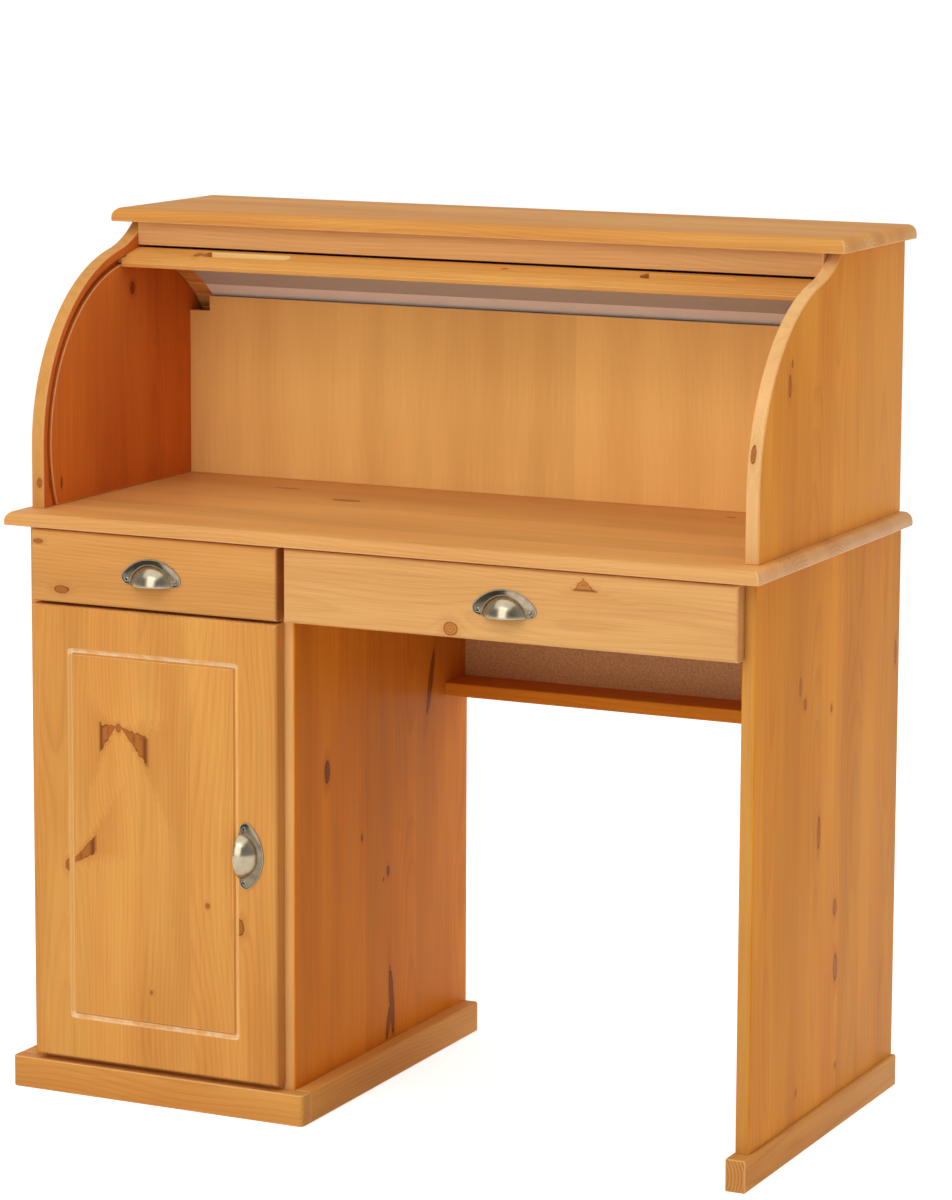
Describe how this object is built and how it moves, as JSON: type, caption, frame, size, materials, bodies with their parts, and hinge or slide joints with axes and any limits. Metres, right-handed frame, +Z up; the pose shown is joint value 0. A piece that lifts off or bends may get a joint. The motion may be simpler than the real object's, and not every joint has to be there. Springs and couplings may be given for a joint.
{
  "type": "roll-top desk",
  "caption": "Pine roll-top desk with a cupboard pedestal, drawers, a leg panel and a curved hutch whose slatted curtain rolls down over the writing surface.",
  "frame": {"origin": "middle of the desk's footprint box on the floor", "axes": "+X to the sitter's right, +Y from the front to the back, +Z up"},
  "size_m": [1.04, 0.544, 1.13],
  "materials": {
    "stained_pine": "honey stain, satin lacquer",
    "bare_pine": "planed, clear sealed",
    "thin_board": "stained thin board, matt",
    "aged_nickel": "antiqued, polished on the crowns",
    "zinc_steel": "zinc plated",
    "canvas": "plain woven cotton"
  },
  "bodies": {
    "carcass": {"desk_top": "stained_pine", "drawer_divider": "stained_pine", "hinge_arms": "zinc_steel", "hutch_back": "thin_board", "hutch_header": "stained_pine", "hutch_inner_back": "stained_pine", "hutch_left_side": "stained_pine", "hutch_right_side": "stained_pine", "hutch_top": "stained_pine", "kneehole_back": "thin_board", "kneehole_drawer_runners": "bare_pine", "kneehole_rail": "stained_pine", "leg_foot": "stained_pine", "leg_panel": "stained_pine", "pedestal_back": "thin_board", "pedestal_drawer_runners": "bare_pine", "pedestal_floor": "stained_pine", "pedestal_left_side": "stained_pine", "pedestal_right_side": "stained_pine", "pedestal_shelf": "stained_pine", "plinth_front": "stained_pine", "plinth_left": "stained_pine", "plinth_right": "stained_pine", "shelf_pins": "zinc_steel"},
    "door": {"door_panel": "stained_pine", "door_pull": "aged_nickel", "door_pull_screws": "aged_nickel", "hinge_cups": "zinc_steel"},
    "small_drawer": {"small_drawer_back": "bare_pine", "small_drawer_bottom": "thin_board", "small_drawer_front": "stained_pine", "small_drawer_left_side": "bare_pine", "small_drawer_pull": "aged_nickel", "small_drawer_pull_screws": "aged_nickel", "small_drawer_right_side": "bare_pine"},
    "wide_drawer": {"wide_drawer_back": "bare_pine", "wide_drawer_bottom": "thin_board", "wide_drawer_front": "stained_pine", "wide_drawer_left_side": "bare_pine", "wide_drawer_pull": "aged_nickel", "wide_drawer_pull_screws": "aged_nickel", "wide_drawer_right_side": "bare_pine"},
    "tambour": {"tambour_canvas": "canvas", "tambour_lead_rail": "stained_pine", "tambour_slat_01": "stained_pine", "tambour_slat_02": "stained_pine", "tambour_slat_03": "stained_pine", "tambour_slat_04": "stained_pine", "tambour_slat_05": "stained_pine", "tambour_slat_06": "stained_pine", "tambour_slat_07": "stained_pine", "tambour_slat_08": "stained_pine", "tambour_slat_09": "stained_pine", "tambour_slat_10": "stained_pine", "tambour_slat_11": "stained_pine", "tambour_slat_12": "stained_pine", "tambour_slat_13": "stained_pine", "tambour_slat_14": "stained_pine", "tambour_slat_15": "stained_pine"}
  },
  "joints": [
    {"name": "door_hinge", "type": "hinge", "parent": "carcass", "child": "door", "pos_m": [-0.484, -0.241, 0.346], "axis": [0, 0, -1], "range_deg": [0, 105]},
    {"name": "small_drawer_slide", "type": "slide", "parent": "carcass", "child": "small_drawer", "axis": [0, -1, 0], "range_m": [0, 0.28]},
    {"name": "wide_drawer_slide", "type": "slide", "parent": "carcass", "child": "wide_drawer", "axis": [0, -1, 0], "range_m": [0, 0.28]},
    {"name": "tambour_roll", "type": "hinge", "parent": "carcass", "child": "tambour", "pos_m": [0, 0.028, 0.838], "axis": [1, 0, 0], "range_deg": [0, 98]}
  ]
}
